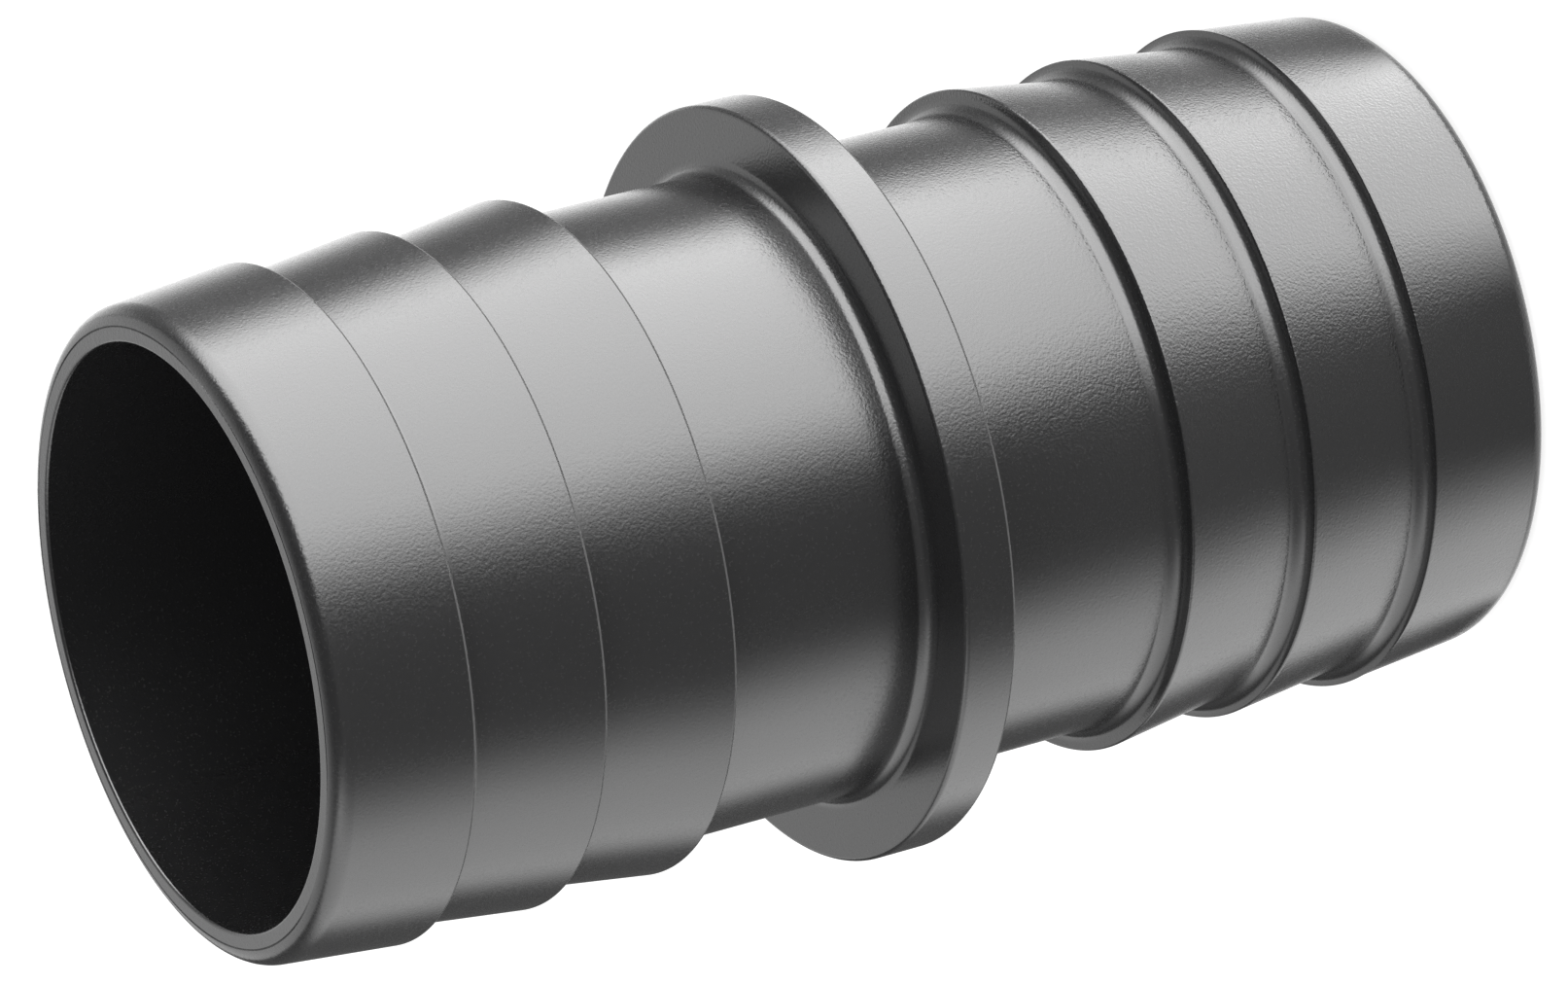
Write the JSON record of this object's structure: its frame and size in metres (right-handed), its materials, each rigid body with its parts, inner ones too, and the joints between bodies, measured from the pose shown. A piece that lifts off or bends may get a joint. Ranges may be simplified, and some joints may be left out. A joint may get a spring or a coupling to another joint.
{
  "type": "hose connector",
  "caption": "Straight barbed plastic connector that joins two hoses end to end, with a stop flange in the middle.",
  "frame": {"origin": "centre of the lower end face, on the bore's axis", "axes": "+Z along the bore's axis, from the end that the connector stands on to the other end"},
  "size_m": [0.0452, 0.0452, 0.08],
  "materials": {
    "moulded_plastic": "charcoal nylon with a fine spark-eroded grain and a satin gloss"
  },
  "bodies": {
    "root": {"connector_body": "moulded_plastic"}
  },
  "joints": []
}
